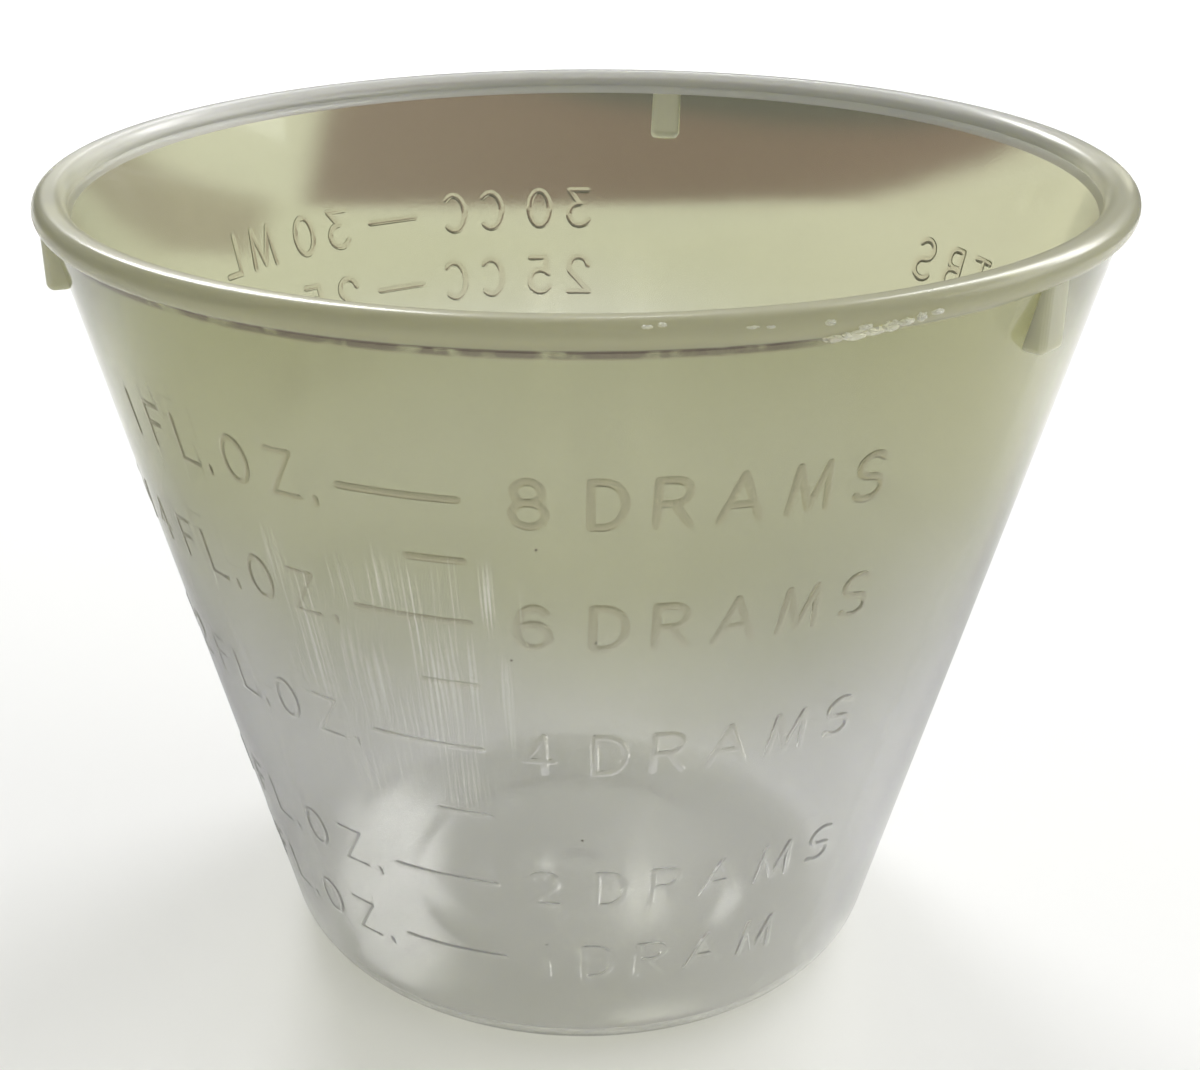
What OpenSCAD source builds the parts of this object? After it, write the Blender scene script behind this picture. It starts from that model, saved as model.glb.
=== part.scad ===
// Small graduated mixing cup, moulded in one shot of natural plastic.
// The cup stands on the table plane with its axis on Z. Azimuths are in degrees, counted from +X.
// The reader of the dram scale stands on the -Y side.

/* [Cup] */
// Height from the table to the top of the rim
cup_h = 38.6; // [34:0.1:48]
// Outer diameter of the wall where its line meets the table
base_d = 29.5; // [26:0.1:34]
// Outer diameter of the wall where its line meets the height of the rim's top
mouth_d = 47.7; // [42:0.1:54]
// Thickness of the wall, square to its face
wall_t = 1; // [0.8:0.1:1.4]

/* [Base] */
// Thickness of the floor
floor_t = 0.9; // [0.7:0.1:1.4]
// Outer radius of the rounded corner between the wall and the table
heel_r = 2.6; // [2:0.1:3.5]
// Inner radius of the same corner
heel_inner_r = 1.8; // [1:0.1:2.5]
// Diameter of the raised disc in the middle of the floor
disc_d = 16.4; // [12:0.1:20]
// How far the disc is raised, inside and underneath
disc_rise = 0.35; // [0.2:0.05:0.5]
// Radial width of the slope round the disc
disc_slope = 0.4; // [0.2:0.05:0.8]
// Diameter of the gate mark under the middle of the floor
gate_d = 2.4; // [1.5:0.1:4]
// Depth of the gate mark
gate_h = 0.2; // [0.1:0.05:0.3]

/* [Rim] */
// Height of the rim bead
bead_h = 1.2; // [0.9:0.1:1.4]
// How far the bead stands out from the wall at mid-height
bead_proud = 0.45; // [0.35:0.05:0.8]

/* [Nesting lugs] */
// Number of lugs under the rim
lug_count = 3; // [3]
// Azimuth of the rear lug
lug_azimuth = 75.8; // [70:0.1:110]
// Width of a lug round the cup
lug_w = 1.6; // [1:0.1:3]
// Height of a lug below the bead
lug_h = 2.6; // [1.5:0.1:3.2]
// How far the lug's outer face lies inside the rim's outer edge
lug_inset = 0.25; // [0.1:0.05:0.4]
// Radius of the lug's outer upright edges
lug_edge_r = 0.4; // [0.2:0.05:0.5]

/* [Raised marks] */
// Height of lines and letters above the wall
relief = 0.25; // [0.15:0.05:0.4]
// Height of a capital letter
cap_h = 2.4; // [2:0.1:2.8]
// Width of a letter's stroke
stroke_w = 0.4; // [0.25:0.05:0.5]
// Gap between two letters of a word
letter_gap = 0.75; // [0.5:0.05:1]
// Gap between a letter and the full stop after it
stop_gap = 0.35; // [0.2:0.05:0.75]
// Gap between two words
word_gap = 1.25; // [1:0.05:1.5]
// Height of a scale line
line_w = 0.4; // [0.3:0.05:0.6]
// Length of a line with a label
long_line = 5.1; // [4:0.1:5.2]
// Length of a line with no label
short_line = 2.6; // [1.5:0.1:3.5]
// Angle that a line of the metric scale spans
metric_line_angle = 8.4; // [5:0.1:8.6]

/* [Scale places] */
// Azimuth of the middle of the dram labels' first digit
dram_azimuth = -96.5; // [-100:0.1:-94]
// Azimuth of the middle of the first digit of the cubic centimetre labels
cc_azimuth = 88.3; // [86:0.1:90]
// Azimuth of the middle of the first digit of the millilitre labels
ml_azimuth = 126.8; // [126:0.1:130]
// Azimuth of the middle of the spoon labels' first digit
spoon_azimuth = 10.8; // [4:0.1:20]
// Angle from a line's end to the middle of the first digit after it
line_lead = 6.2; // [6:0.1:8]
// The same angle on the metric scale
metric_lead = 5; // [4.8:0.1:7]
// How far the metric and spoon scales sit below their true heights
far_drop = 0.55; // [0:0.05:0.8]

/* [Hidden] */

// Sight colours of the natural plastic and of the marks on it
plastic = [0.74, 0.75, 0.64];
thin_plastic = [0.70, 0.71, 0.66];
mark = [0.60, 0.59, 0.50];

// Volumes in cubic millimetres
dram = 3696.7;
millilitre = 1000;
tablespoon = 14786.8;
teaspoon = 4928.9;

// The cone of the wall
slope = (mouth_d - base_d) / 2 / cup_h;
half_angle = atan(slope);
function outer_r(z) = base_d / 2 + slope * z;
function inner_r(z) = outer_r(z) - wall_t / cos(half_angle);

// Height at which a volume stands in the cup
function fill_z(volume) =
    (pow(3 * slope * volume / PI + pow(inner_r(floor_t), 3), 1 / 3) - inner_r(0)) / slope;

// Centre radius of a corner arc that is tangent to a floor at z and to a cone of radius r there
function corner_r(r, arc_r) =
    r + arc_r * ((1 - sin(half_angle)) * slope - cos(half_angle));
heel_c = corner_r(outer_r(0), heel_r);
heel_inner_c = corner_r(inner_r(floor_t), heel_inner_r);
heel_top = floor_t + max(heel_r, heel_inner_r) * (1 - sin(half_angle));

// The bead sits on the wall's top edge
bead_z0 = cup_h - bead_h;
bead_mid = cup_h - bead_h / 2;
rim_r = outer_r(bead_mid) + bead_proud;

// Angle that a length takes up round the wall at a height
function arc_angle(length, z) = length / outer_r(z) * 180 / PI;

// Profiles in the plane of radius and height

// Filled outline of a cone with a round bottom corner
module cone_profile(floor_z, floor_r, corner, corner_c, wide_top) {
    corner_z = floor_z + corner;
    polygon([
        [0, floor_z],
        [corner_c, floor_z],
        [corner_c + corner * cos(half_angle), corner_z - corner * sin(half_angle)],
        [floor_r + slope * (wide_top - floor_z), wide_top],
        [0, wide_top]
    ]);
    translate([corner_c, corner_z]) circle(r = corner, $fn = 64);
}

// Section of the wall and the rounded corner, with the floor's thickness
module body_profile() {
    difference() {
        cone_profile(0, outer_r(0), heel_r, heel_c, bead_z0);
        cone_profile(floor_t, inner_r(floor_t), heel_inner_r, heel_inner_c, cup_h);
    }
}

// A band of the section between two heights and from a radius outwards
module body_band(z0, z1, r0) {
    rotate_extrude($fn = 128)
        intersection() {
            body_profile();
            translate([r0, z0]) square([mouth_d, z1 - z0]);
        }
}

module bead_profile() {
    radius = bead_h / 2;
    inner_c = inner_r(bead_mid) + radius;
    outer_c = rim_r - radius;
    translate([inner_c, bead_mid]) circle(r = radius, $fn = 48);
    translate([outer_c, bead_mid]) circle(r = radius, $fn = 48);
    translate([inner_c, bead_z0]) square([outer_c - inner_c, bead_h]);
    polygon([
        [inner_r(bead_z0), bead_z0],
        [outer_r(bead_z0), bead_z0],
        [outer_r(bead_mid), bead_mid],
        [inner_r(bead_mid), bead_mid]
    ]);
}

// Body of the cup

module cup_wall() {
    color(plastic) body_band(heel_top, bead_z0, 0);
}

module base_heel() {
    color(thin_plastic) body_band(0, heel_top, heel_inner_c);
}

// Flat ring that the cup stands on, between the rounded corner and the disc
module floor_ring() {
    color(thin_plastic)
        rotate_extrude($fn = 128)
            polygon([
                [disc_d / 2 + disc_slope, 0],
                [heel_inner_c, 0],
                [heel_inner_c, floor_t],
                [disc_d / 2 + disc_slope, floor_t]
            ]);
}

// Raised middle of the floor, with its sloped edge
module floor_disc() {
    color(thin_plastic)
        rotate_extrude($fn = 128)
            polygon([
                [0, disc_rise],
                [disc_d / 2, disc_rise],
                [disc_d / 2 + disc_slope, 0],
                [disc_d / 2 + disc_slope, floor_t],
                [disc_d / 2, floor_t + disc_rise],
                [0, floor_t + disc_rise]
            ]);
}

module gate_mark() {
    color(mark)
        translate([0, 0, disc_rise - gate_h]) cylinder(h = gate_h, d = gate_d, $fn = 48);
}

module rim_bead() {
    color(plastic) rotate_extrude($fn = 128) bead_profile();
}

// One lug at an azimuth, seated on the wall and under the bead
module nesting_lug(azimuth) {
    face_r = rim_r - lug_inset;
    root_r = outer_r(bead_z0 - lug_h) - wall_t / 2;
    edge_c = lug_w / 2 - lug_edge_r;
    color(plastic)
        difference() {
            rotate([0, 0, azimuth])
                translate([0, 0, bead_z0 - lug_h])
                    linear_extrude(lug_h + bead_h / 2) {
                        translate([root_r, -lug_w / 2]) square([face_r - lug_edge_r - root_r, lug_w]);
                        translate([root_r, -edge_c]) square([face_r - root_r, 2 * edge_c]);
                        for (side = [-1, 1])
                            translate([face_r - lug_edge_r, side * edge_c]) circle(r = lug_edge_r, $fn = 32);
                    }
            cylinder(h = cup_h, r1 = outer_r(0), r2 = outer_r(cup_h), $fn = 128);
            rotate_extrude($fn = 128) bead_profile();
        }
}

module lug_rear() {
    nesting_lug(lug_azimuth);
}

module lug_left() {
    nesting_lug(lug_azimuth + 360 / lug_count);
}

module lug_right() {
    nesting_lug(lug_azimuth - 360 / lug_count);
}

// Stroke letters, drawn on a box one high from the baseline

function arc(x, y, rx, ry, from, to, steps = 6) =
    [for (i = [0:steps]) let (a = from + (to - from) * i / steps) [x + rx * cos(a), y + ry * sin(a)]];
function loop(x, y, rx, ry) = arc(x, y, rx, ry, 0, 360, 16);

function letter_strokes(c) =
    c == "0" || c == "O" ? [loop(0.3, 0.5, 0.3, 0.5)] :
    c == "1" ? [[[0, 0], [0, 1]]] :
    c == "2" ? [concat(arc(0.3, 0.71, 0.28, 0.29, 170, -35), [[0, 0]]), [[0, 0], [0.6, 0]]] :
    c == "3" ? [[[0.02, 1], [0.56, 1]], [[0.56, 1], [0.28, 0.62]], arc(0.27, 0.31, 0.31, 0.31, 95, -150, 8)] :
    c == "4" ? [[[0.42, 1], [0, 0.32]], [[0, 0.32], [0.6, 0.32]], [[0.42, 1], [0.42, 0]]] :
    c == "5" ? [[[0.1, 1], [0.54, 1]], [[0.1, 1], [0.06, 0.55]], arc(0.27, 0.32, 0.31, 0.32, 140, -150, 8)] :
    c == "6" ? [loop(0.3, 0.3, 0.3, 0.3), arc(0.33, 0.46, 0.33, 0.54, 50, 180)] :
    c == "8" ? [loop(0.3, 0.76, 0.25, 0.24), loop(0.3, 0.27, 0.3, 0.27)] :
    c == "A" ? [[[0, 0], [0.38, 1]], [[0.38, 1], [0.76, 0]], [[0.14, 0.34], [0.62, 0.34]]] :
    c == "B" ? [[[0, 0], [0, 1]],
                concat([[0, 1]], arc(0.28, 0.77, 0.22, 0.23, 90, -90), [[0, 0.54]]),
                concat([[0, 0.5]], arc(0.3, 0.25, 0.26, 0.25, 90, -90), [[0, 0]])] :
    c == "C" ? [arc(0.33, 0.5, 0.33, 0.5, 50, 310, 10)] :
    c == "D" ? [[[0, 0], [0, 1]], concat([[0, 1]], arc(0.22, 0.5, 0.4, 0.5, 90, -90, 8), [[0, 0]])] :
    c == "F" ? [[[0, 0], [0, 1]], [[0, 1], [0.5, 1]], [[0, 0.55], [0.42, 0.55]]] :
    c == "L" ? [[[0, 0], [0, 1]], [[0, 0], [0.52, 0]]] :
    c == "M" ? [[[0, 0], [0.1, 1]], [[0.1, 1], [0.4, 0.05]], [[0.4, 0.05], [0.7, 1]], [[0.7, 1], [0.8, 0]]] :
    c == "P" ? [[[0, 0], [0, 1]], concat([[0, 1]], arc(0.3, 0.74, 0.26, 0.26, 90, -90), [[0, 0.48]])] :
    c == "R" ? [[[0, 0], [0, 1]], concat([[0, 1]], arc(0.3, 0.74, 0.28, 0.26, 90, -90), [[0, 0.48]]),
                [[0.3, 0.48], [0.6, 0]]] :
    c == "S" ? [concat(arc(0.3, 0.75, 0.28, 0.25, 35, 260, 7), arc(0.3, 0.25, 0.3, 0.25, 80, -145, 7))] :
    c == "T" ? [[[0, 1], [0.62, 1]], [[0.31, 1], [0.31, 0]]] :
    c == "Z" ? [[[0.02, 1], [0.6, 1]], [[0.6, 1], [0, 0]], [[0, 0], [0.62, 0]]] :
    c == "/" ? [[[0, -0.05], [0.45, 1.05]]] :
    c == "." ? [[[0, -0.08], [0, 0.08]]] :
    [];

// Height of a letter between the middles of its strokes
letter_h = cap_h - stroke_w;
function stroke_reach(c) = max([0, for (path = letter_strokes(c), p = path) p.x]);
function letter_w(c) = stroke_reach(c) * letter_h + stroke_w;
// Length along a word up to the left edge of letter i
function word_x(word, i) =
    i == 0 ? 0 :
    word[i - 1] == " " ? word_x(word, i - 1) + word_gap - letter_gap :
    word_x(word, i - 1) + letter_w(word[i - 1]) + (word[i] == "." ? stop_gap : letter_gap);
function word_w(word) = word_x(word, len(word) - 1) + letter_w(word[len(word) - 1]);

function unit(v) = v / norm(v);
function left_of(v) = [-v.y, v.x];
// Points beside a path, at a distance to its left
function beside(path, distance, closed) =
    let (n = len(path))
    [for (i = [0:n - 1])
        let (
            before = i > 0 ? path[i] - path[i - 1] : closed ? path[0] - path[n - 1] : path[1] - path[0],
            after = i < n - 1 ? path[i + 1] - path[i] : closed ? path[0] - path[n - 1] : before,
            a = left_of(unit(before)),
            m = unit(a + left_of(unit(after)))
        )
        path[i] + m * distance / (m * a)];

// One stroke: a closed path becomes a ring, an open one a ribbon with ends past its last points
module stroke(path) {
    n = len(path);
    closed = norm(path[0] - path[n - 1]) < 0.01;
    if (closed) {
        ring = [for (i = [0:n - 2]) path[i]];
        difference() {
            polygon(beside(ring, -stroke_w / 2, true));
            polygon(beside(ring, stroke_w / 2, true));
        }
    } else {
        overrun = 0.45 * stroke_w;
        first = path[0] + unit(path[0] - path[1]) * overrun;
        last = path[n - 1] + unit(path[n - 1] - path[n - 2]) * overrun;
        ends = n > 2 ? concat([first], [for (i = [1:n - 2]) path[i]], [last]) : [first, last];
        right_side = beside(ends, -stroke_w / 2, false);
        polygon(concat(beside(ends, stroke_w / 2, false), [for (i = [n - 1:-1:0]) right_side[i]]));
    }
}

module letter(c) {
    for (path = letter_strokes(c))
        stroke([for (p = path) p * letter_h]);
}

// Thin cone on the wall's face that holds the lines and letters
module relief_shell(z0, z1) {
    rise = relief / cos(half_angle);
    rotate_extrude($fn = 128)
        polygon([
            [outer_r(z0), z0],
            [outer_r(z0) + rise, z0],
            [outer_r(z1) + rise, z1],
            [outer_r(z1), z1]
        ]);
}

// A word round the wall, centred on height z, whose left edge starts at an azimuth
module raised_word(word, start, z) {
    depth = 4 * relief;
    color(mark)
        intersection() {
            for (i = [0:len(word) - 1])
                if (word[i] != " ") {
                    middle = word_x(word, i) + letter_w(word[i]) / 2;
                    rotate([0, 0, start + arc_angle(middle, z)])
                        translate([outer_r(z), 0, z])
                            rotate([0, 90 + half_angle, 0])
                                translate([0, 0, -depth / 2])
                                    rotate([0, 0, 90])
                                        linear_extrude(depth)
                                            translate([-stroke_reach(word[i]) * letter_h / 2, -letter_h / 2])
                                                letter(word[i]);
                }
            relief_shell(z - cap_h, z + cap_h);
        }
}

// A label placed by the middle of its first letter
module label_after(word, azimuth, z) {
    raised_word(word, azimuth - arc_angle(letter_w(word[0]) / 2, z), z);
}

// A label that ends a little before an azimuth
module label_before(word, azimuth, z) {
    raised_word(word, azimuth - arc_angle(word_w(word) + letter_gap, z), z);
}

// A line round the wall that spans an angle and ends at an azimuth
module scale_line(angle, end, z) {
    rise = relief / cos(half_angle);
    z0 = z - line_w / 2;
    z1 = z + line_w / 2;
    color(mark)
        rotate([0, 0, end - angle])
            rotate_extrude(angle = angle, $fn = 128)
                polygon([
                    [outer_r(z0), z0],
                    [outer_r(z0) + rise, z0],
                    [outer_r(z1) + rise, z1],
                    [outer_r(z1), z1]
                ]);
}

// Dram scale, read from the front, with fluid ounces to the left of its lines

dram_line_end = dram_azimuth - line_lead;
function dram_z(count) = fill_z(count * dram);

module dram_line(count, length) {
    scale_line(arc_angle(length, dram_z(count)), dram_line_end, dram_z(count));
}

module dram_label(count, word) {
    label_after(word, dram_azimuth, dram_z(count));
}

module ounce_label(count, word) {
    label_before(word, dram_line_end - arc_angle(long_line, dram_z(count)), dram_z(count));
}

module line_8_drams() {
    dram_line(8, long_line);
}
module line_7_drams() {
    dram_line(7, short_line);
}
module line_6_drams() {
    dram_line(6, long_line);
}
module line_5_drams() {
    dram_line(5, short_line);
}
module line_4_drams() {
    dram_line(4, long_line);
}
module line_3_drams() {
    dram_line(3, short_line);
}
module line_2_drams() {
    dram_line(2, long_line);
}
module line_1_dram() {
    dram_line(1, long_line);
}
module label_8_drams() {
    dram_label(8, "8 DRAMS");
}
module label_6_drams() {
    dram_label(6, "6 DRAMS");
}
module label_4_drams() {
    dram_label(4, "4 DRAMS");
}
module label_2_drams() {
    dram_label(2, "2 DRAMS");
}
module label_1_dram() {
    dram_label(1, "1 DRAM");
}
module label_1_fl_oz() {
    ounce_label(8, "1 FL.OZ.");
}
module label_3_4_fl_oz() {
    ounce_label(6, "3/4 FL.OZ.");
}
module label_1_2_fl_oz() {
    ounce_label(4, "1/2 FL.OZ.");
}
module label_1_4_fl_oz() {
    ounce_label(2, "1/4 FL.OZ.");
}
module label_1_8_fl_oz() {
    ounce_label(1, "1/8 FL.OZ.");
}

// Metric scale, with cubic centimetres before its lines and millilitres after them

ml_line_end = ml_azimuth - metric_lead;
function metric_z(count) = fill_z(count * millilitre) - far_drop;

module metric_tick(count) {
    scale_line(metric_line_angle, ml_line_end, metric_z(count));
}

module cc_label(count, word) {
    label_after(word, cc_azimuth, metric_z(count));
}

module ml_label(count, word) {
    label_after(word, ml_azimuth, metric_z(count));
}

module line_30_ml() {
    metric_tick(30);
}
module line_25_ml() {
    metric_tick(25);
}
module line_20_ml() {
    metric_tick(20);
}
module line_15_ml() {
    metric_tick(15);
}
module line_10_ml() {
    metric_tick(10);
}
module line_5_ml() {
    metric_tick(5);
}
module label_30_cc() {
    cc_label(30, "30 CC");
}
module label_25_cc() {
    cc_label(25, "25 CC");
}
module label_20_cc() {
    cc_label(20, "20 CC");
}
module label_15_cc() {
    cc_label(15, "15 CC");
}
module label_10_cc() {
    cc_label(10, "10 CC");
}
module label_5_cc() {
    cc_label(5, "5 CC");
}
module label_30_ml() {
    ml_label(30, "30 ML");
}
module label_25_ml() {
    ml_label(25, "25 ML");
}
module label_20_ml() {
    ml_label(20, "20 ML");
}
module label_15_ml() {
    ml_label(15, "15 ML");
}
module label_10_ml() {
    ml_label(10, "10 ML");
}
module label_5_ml() {
    ml_label(5, "5 ML");
}

// Spoon scale on the right

spoon_line_end = spoon_azimuth - line_lead;
function spoon_z(volume) = fill_z(volume) - far_drop;

module spoon_line(volume) {
    scale_line(arc_angle(short_line, spoon_z(volume)), spoon_line_end, spoon_z(volume));
}

module spoon_label(volume, word) {
    label_after(word, spoon_azimuth, spoon_z(volume));
}

module line_2_tbs() {
    spoon_line(2 * tablespoon);
}
module line_1_tbs() {
    spoon_line(tablespoon);
}
module line_1_tsp() {
    spoon_line(teaspoon);
}
module label_2_tbs() {
    spoon_label(2 * tablespoon, "2 TBS");
}
module label_1_tbs() {
    spoon_label(tablespoon, "1 TBS");
}
module label_1_tsp() {
    spoon_label(teaspoon, "1 TSP");
}

cup_wall();
base_heel();
floor_ring();
floor_disc();
gate_mark();
rim_bead();
lug_rear();
lug_left();
lug_right();
line_8_drams();
line_7_drams();
line_6_drams();
line_5_drams();
line_4_drams();
line_3_drams();
line_2_drams();
line_1_dram();
label_8_drams();
label_6_drams();
label_4_drams();
label_2_drams();
label_1_dram();
label_1_fl_oz();
label_3_4_fl_oz();
label_1_2_fl_oz();
label_1_4_fl_oz();
label_1_8_fl_oz();
line_30_ml();
line_25_ml();
line_20_ml();
line_15_ml();
line_10_ml();
line_5_ml();
label_30_cc();
label_25_cc();
label_20_cc();
label_15_cc();
label_10_cc();
label_5_cc();
label_30_ml();
label_25_ml();
label_20_ml();
label_15_ml();
label_10_ml();
label_5_ml();
line_2_tbs();
line_1_tbs();
line_1_tsp();
label_2_tbs();
label_1_tbs();
label_1_tsp();
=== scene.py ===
# Mixing cup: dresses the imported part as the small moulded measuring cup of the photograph.
import math

import bpy
from mathutils import Matrix, Vector


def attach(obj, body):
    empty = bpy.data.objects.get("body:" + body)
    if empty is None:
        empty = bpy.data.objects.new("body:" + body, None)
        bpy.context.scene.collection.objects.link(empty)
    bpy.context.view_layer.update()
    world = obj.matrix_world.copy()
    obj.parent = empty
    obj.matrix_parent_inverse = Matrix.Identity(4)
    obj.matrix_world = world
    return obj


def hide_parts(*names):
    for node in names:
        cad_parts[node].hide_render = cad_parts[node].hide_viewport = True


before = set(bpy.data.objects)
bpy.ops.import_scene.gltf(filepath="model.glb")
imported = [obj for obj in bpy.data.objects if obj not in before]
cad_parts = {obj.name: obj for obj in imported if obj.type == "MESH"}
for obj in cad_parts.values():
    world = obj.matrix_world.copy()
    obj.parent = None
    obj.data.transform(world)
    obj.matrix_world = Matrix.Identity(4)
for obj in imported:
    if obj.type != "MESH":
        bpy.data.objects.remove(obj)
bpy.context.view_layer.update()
mm = 0.001
print("frame loaded:", len(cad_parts), "nodes")


# Camera, at the photograph's viewing angle
cameraView = {
    "place": (-2.76, -78.47, 55.81),  # mm
    "pitchDown": 0.4403,  # radians
    "yaw": 0.0019,
    "roll": -0.01053,
    "lens": 52.034,  # mm on a 36 mm wide sensor
    "shift": (0.0606, 0.0174),
}


def addCamera(view):
    pitch, yaw, roll = view["pitchDown"], view["yaw"], view["roll"]
    forward = Vector((math.sin(yaw) * math.cos(pitch), math.cos(yaw) * math.cos(pitch), -math.sin(pitch)))
    level = Vector((math.cos(yaw), -math.sin(yaw), 0))
    upright = level.cross(forward)
    right = math.cos(roll) * level + math.sin(roll) * upright
    up = math.cos(roll) * upright - math.sin(roll) * level
    turn = Matrix((right, up, -forward)).transposed()
    lens = bpy.data.cameras.new("photoCamera")
    lens.sensor_width = 36
    lens.lens = view["lens"]
    lens.shift_x, lens.shift_y = view["shift"]
    lens.clip_start = 0.001
    lens.clip_end = 20
    camera = bpy.data.objects.new("photoCamera", lens)
    bpy.context.scene.collection.objects.link(camera)
    camera.matrix_world = Matrix.Translation(Vector(view["place"]) * mm) @ turn.to_4x4()
    bpy.context.scene.camera = camera


addCamera(cameraView)
print("camera set")


# Sizes of the cup, in mm, as in the part's source
cup = {
    "height": 38.6,
    "baseWidth": 29.5,
    "mouthWidth": 47.7,
    "wall": 1.0,
    "floor": 0.9,
    "heelOuter": 2.6,
    "heelInner": 0.9,
    "discWidth": 16.4,
    "discRise": 0.2,
    "discSlope": 0.9,
    "gateWidth": 2.4,
    "gateDepth": 0.2,
    "beadHeight": 1.2,
    "beadProud": 0.45,
    "steps": 320,  # facets round the cup
    "wallRows": 20,
}
slope = (cup["mouthWidth"] - cup["baseWidth"]) / 2 / cup["height"]
halfAngle = math.atan(slope)


def outerRadius(z):
    return cup["baseWidth"] / 2 + slope * z


def innerRadius(z):
    return outerRadius(z) - cup["wall"] / math.cos(halfAngle)


# Points of an arc in the plane of radius and height, by angles in degrees.
def arcPoints(centreR, centreZ, radius, start, end, steps):
    points = []
    for i in range(steps + 1):
        angle = math.radians(start + (end - start) * i / steps)
        points.append((centreR + radius * math.cos(angle), centreZ + radius * math.sin(angle)))
    return points


def cornerCentre(radiusAtFloor, corner):
    return radiusAtFloor + corner * ((1 - math.sin(halfAngle)) * slope - math.cos(halfAngle))


def cupProfile():
    tilt = math.degrees(halfAngle)
    rise, edge = cup["discRise"], cup["discWidth"] / 2
    gate = cup["gateWidth"] / 2
    heelC = cornerCentre(outerRadius(0), cup["heelOuter"])
    innerC = cornerCentre(innerRadius(cup["floor"]), cup["heelInner"])
    beadR = cup["beadHeight"] / 2
    beadMid = cup["height"] - beadR
    beadInC = innerRadius(beadMid) + beadR
    beadOutC = outerRadius(beadMid) + cup["beadProud"] - beadR
    # the underside, from the middle out: gate mark, raised disc and its slope, then the ring that it stands on
    line = [(0, rise + cup["gateDepth"] * 0.6), (gate * 0.7, rise + cup["gateDepth"] * 0.55)]
    line += [(gate * 0.95, rise + 0.03), (gate * 1.1, rise)]
    line += [(edge * s, rise) for s in (0.35, 0.6, 0.85, 0.97)]
    line += [(edge, rise * 0.97), (edge + cup["discSlope"] * 0.5, rise * 0.5), (edge + cup["discSlope"], rise * 0.03)]
    line += [(edge + cup["discSlope"] + 0.15, 0), (heelC - 1.6, 0)]
    line += arcPoints(heelC, cup["heelOuter"], cup["heelOuter"], -90, -tilt, 12)
    wallStart = line[-1][1]
    wallEnd = cup["height"] - cup["beadHeight"] - 0.1
    rows = cup["wallRows"]
    for i in range(1, rows + 1):
        z = wallStart + (wallEnd - wallStart) * i / rows
        line.append((outerRadius(z), z))
    # a small hollow fillet, then round the bead
    line += [(outerRadius(wallEnd) + 0.05, wallEnd + 0.09)]
    line += arcPoints(beadOutC, beadMid, beadR, -72, 90, 14)
    line += arcPoints(beadInC, beadMid, beadR, 90, 180 + tilt, 10)
    # the inner wall, its rounded corner, and the floor in to the middle
    top, low = line[-1][1] - 0.4, cup["floor"] + cup["heelInner"]
    for i in range(9):
        z = top + (low - top) * i / 8
        line.append((innerRadius(z), z))
    line += arcPoints(innerC, low, cup["heelInner"], -tilt, -90, 10)[1:]
    line += [(edge + cup["discSlope"] + 0.2, cup["floor"]), (edge + cup["discSlope"], cup["floor"] + rise * 0.03)]
    line += [(edge + cup["discSlope"] * 0.5, cup["floor"] + rise * 0.5), (edge, cup["floor"] + rise * 0.97)]
    line += [(edge * s, cup["floor"] + rise) for s in (0.97, 0.75, 0.45, 0.2, 0)]
    return line


def deselectAll():
    if bpy.context.object is not None and bpy.context.object.mode != "OBJECT":
        bpy.ops.object.mode_set(mode="OBJECT")
    bpy.ops.object.select_all(action="DESELECT")


def useOnly(piece):
    deselectAll()
    piece.select_set(True)
    bpy.context.view_layer.objects.active = piece


def spinProfile(name, profile, steps):
    deselectAll()
    bpy.ops.mesh.primitive_plane_add(size=mm, location=(profile[0][0] * mm, 0, profile[0][1] * mm))
    piece = bpy.context.object
    piece.name = name
    bpy.ops.object.mode_set(mode="EDIT")
    bpy.ops.mesh.select_all(action="SELECT")
    bpy.ops.mesh.merge(type="CENTER")
    for (r0, z0), (r1, z1) in zip(profile, profile[1:]):
        bpy.ops.mesh.extrude_region_move(TRANSFORM_OT_translate={"value": ((r1 - r0) * mm, 0, (z1 - z0) * mm)})
    bpy.ops.mesh.select_all(action="SELECT")
    bpy.ops.mesh.spin(steps=steps, angle=2 * math.pi, center=(0, 0, 0), axis=(0, 0, 1))
    bpy.ops.mesh.select_all(action="SELECT")
    bpy.ops.mesh.remove_doubles(threshold=0.000002)
    bpy.ops.mesh.normals_make_consistent(inside=False)
    bpy.ops.object.mode_set(mode="OBJECT")
    bpy.ops.object.transform_apply(location=True, rotation=True, scale=True)
    return piece


cupShell = spinProfile("cupShell", cupProfile(), cup["steps"])
print("cup shell spun:", len(cupShell.data.polygons), "faces")


# Adds extra's solid to piece and deletes extra.
def uniteWith(piece, extra):
    useOnly(piece)
    union = piece.modifiers.new("union", "BOOLEAN")
    union.operation = "UNION"
    union.solver = "MANIFOLD"
    union.object = extra
    bpy.ops.object.modifier_apply(modifier=union.name)
    bpy.data.objects.remove(extra)


# Raised marks: strokes on a box one high, as in the part's source
marks = {
    "capHeight": 2.4,
    "strokeWidth": 0.4,
    "cutter": 0.33,  # radius of a stroke's round section
    "sink": 0.275,  # how deep the middle of that section lies under the wall's face
    "faintSink": 0.293,  # the fluid ounce labels are fainter
    "letterGap": 0.75,
    "stopGap": 0.35,
    "wordGap": 1.25,
    "longLine": 5.1,
    "shortLine": 2.6,
    "metricLine": 8.4,  # degrees
    "dramAzimuth": -96.8,
    "ccAzimuth": 88.3,
    "mlAzimuth": 126.8,
    "spoonAzimuth": 10.8,
    "lineLead": 6.2,
    "metricLead": 5,
    "farDrop": 0.55,
    "sides": 12,  # roundness of a stroke's section
}
volumes = {"dram": 3696.7, "millilitre": 1000, "tablespoon": 14786.8, "teaspoon": 4928.9}
letterHeight = marks["capHeight"] - marks["strokeWidth"]


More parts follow.
